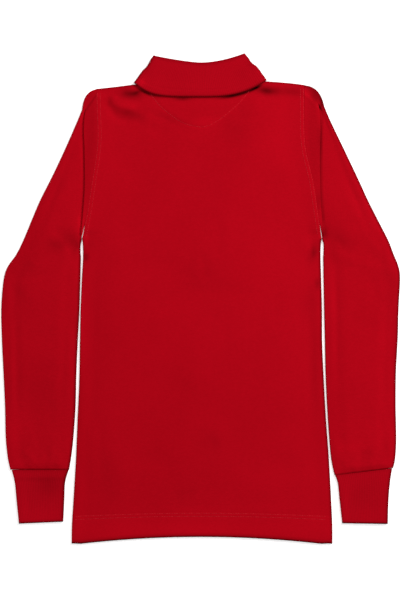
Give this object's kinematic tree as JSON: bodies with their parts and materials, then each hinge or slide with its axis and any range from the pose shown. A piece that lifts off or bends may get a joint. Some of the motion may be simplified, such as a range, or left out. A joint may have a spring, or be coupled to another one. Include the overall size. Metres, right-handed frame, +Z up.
{
  "type": "long-sleeved knit shirt with a fold-over collar, laid flat on its front",
  "caption": "Slim long-sleeved knit shirt with a fold-over rib collar and rib cuffs, lying flat on its front with the sleeves along its sides.",
  "frame": {"origin": "bottom centre of the box round the shirt, on the surface that it lies on", "axes": "+X to the wearer's right, which is the right of the back view; +Y from hem to collar; +Z up, out of the back"},
  "size_m": [0.5192, 0.6374, 0.0074],
  "materials": {
    "knit": "matt red cotton knit",
    "rib": "matt red flat rib knit",
    "button": "satin red button"
  },
  "bodies": {
    "root": {"back_panel": "knit", "front_panel": "knit", "sleeve_left": "knit", "sleeve_right": "knit", "placket_outer": "knit", "placket_under": "knit", "cuff_left": "rib", "cuff_right": "rib", "collar": "rib", "button_upper": "button", "button_lower": "button"}
  },
  "joints": []
}
